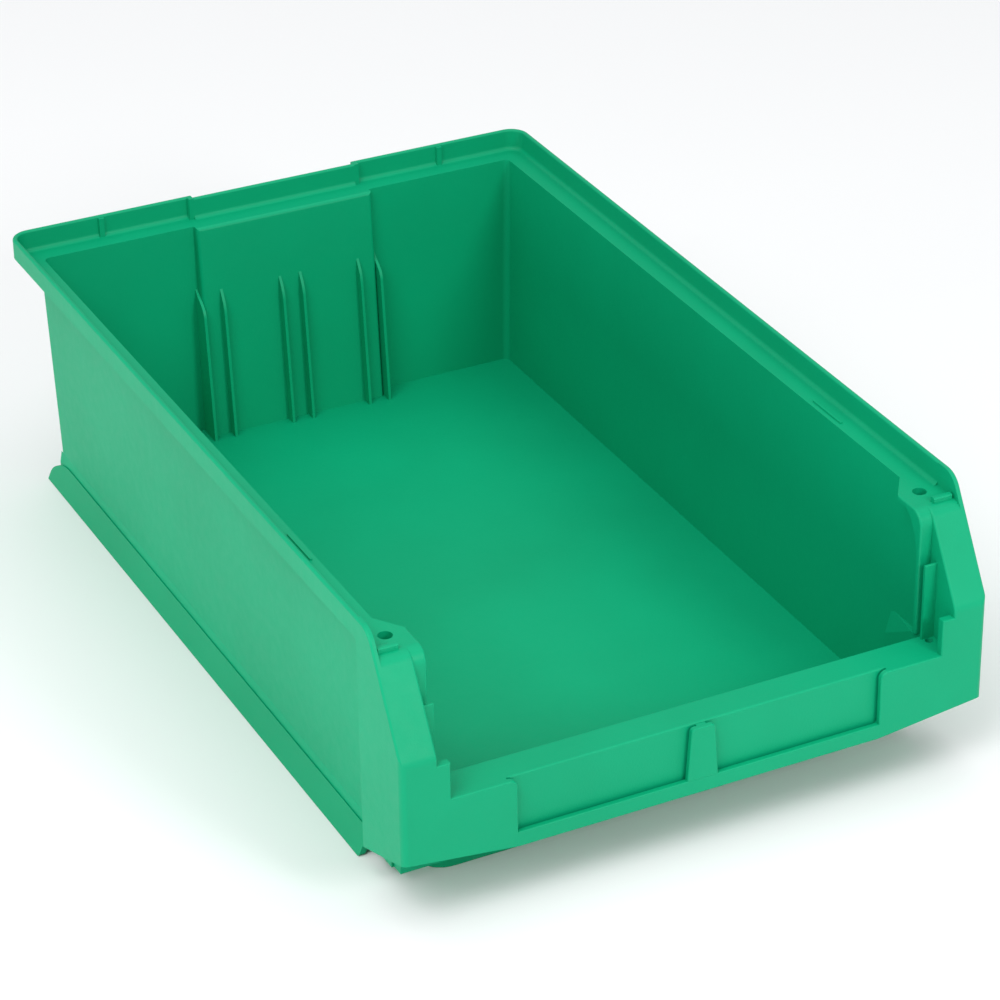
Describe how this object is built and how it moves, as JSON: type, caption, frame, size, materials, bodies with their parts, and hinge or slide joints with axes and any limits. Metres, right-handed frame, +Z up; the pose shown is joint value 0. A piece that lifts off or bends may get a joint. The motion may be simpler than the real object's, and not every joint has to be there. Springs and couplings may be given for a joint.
{
  "type": "stackable storage bin",
  "caption": "Open-front stackable storage bin moulded in green plastic, with a stacking ledge inside the rim, a low front lip with label pockets and rails under both sides.",
  "frame": {"origin": "centre of the bin's plan, on the plane it rests on", "axes": "+X across the width, to the right when facing the open front, +Y towards the rear, +Z up; the open front faces -Y"},
  "size_m": [0.3144, 0.5016, 0.1492],
  "materials": {
    "bin_plastic": "fine moulded grain, satin",
    "rail_plastic": "smooth moulded"
  },
  "bodies": {
    "root": {"divider_rib_1": "bin_plastic", "divider_rib_2": "bin_plastic", "divider_rib_3": "bin_plastic", "divider_rib_4": "bin_plastic", "divider_rib_5": "bin_plastic", "divider_rib_6": "bin_plastic", "floor_panel": "bin_plastic", "front_foot": "rail_plastic", "front_scoop": "bin_plastic", "label_backing": "bin_plastic", "label_sill": "bin_plastic", "label_tab": "bin_plastic", "left_channel_rib": "bin_plastic", "left_channel_web": "bin_plastic", "left_corner_boss": "bin_plastic", "left_ledge": "bin_plastic", "left_ledge_corner": "bin_plastic", "left_ledge_fin": "bin_plastic", "left_lug": "bin_plastic", "left_plate": "bin_plastic", "left_post_cap": "bin_plastic", "left_post_front": "bin_plastic", "left_post_inner": "bin_plastic", "left_post_rear": "bin_plastic", "left_post_side": "bin_plastic", "left_rail": "rail_plastic", "left_rear_rim": "bin_plastic", "left_rear_wall": "bin_plastic", "left_rim": "bin_plastic", "left_rim_rib": "bin_plastic", "left_skirt": "bin_plastic", "left_wall": "bin_plastic", "lip_top": "bin_plastic", "rear_ledge": "bin_plastic", "rear_panel": "bin_plastic", "rear_rim_centre": "bin_plastic", "right_channel_rib": "bin_plastic", "right_channel_web": "bin_plastic", "right_corner_boss": "bin_plastic", "right_ledge": "bin_plastic", "right_ledge_corner": "bin_plastic", "right_ledge_fin": "bin_plastic", "right_lug": "bin_plastic", "right_plate": "bin_plastic", "right_post_cap": "bin_plastic", "right_post_front": "bin_plastic", "right_post_inner": "bin_plastic", "right_post_rear": "bin_plastic", "right_post_side": "bin_plastic", "right_rail": "rail_plastic", "right_rear_rim": "bin_plastic", "right_rear_wall": "bin_plastic", "right_rim": "bin_plastic", "right_rim_rib": "bin_plastic", "right_skirt": "bin_plastic", "right_wall": "bin_plastic"}
  },
  "joints": []
}
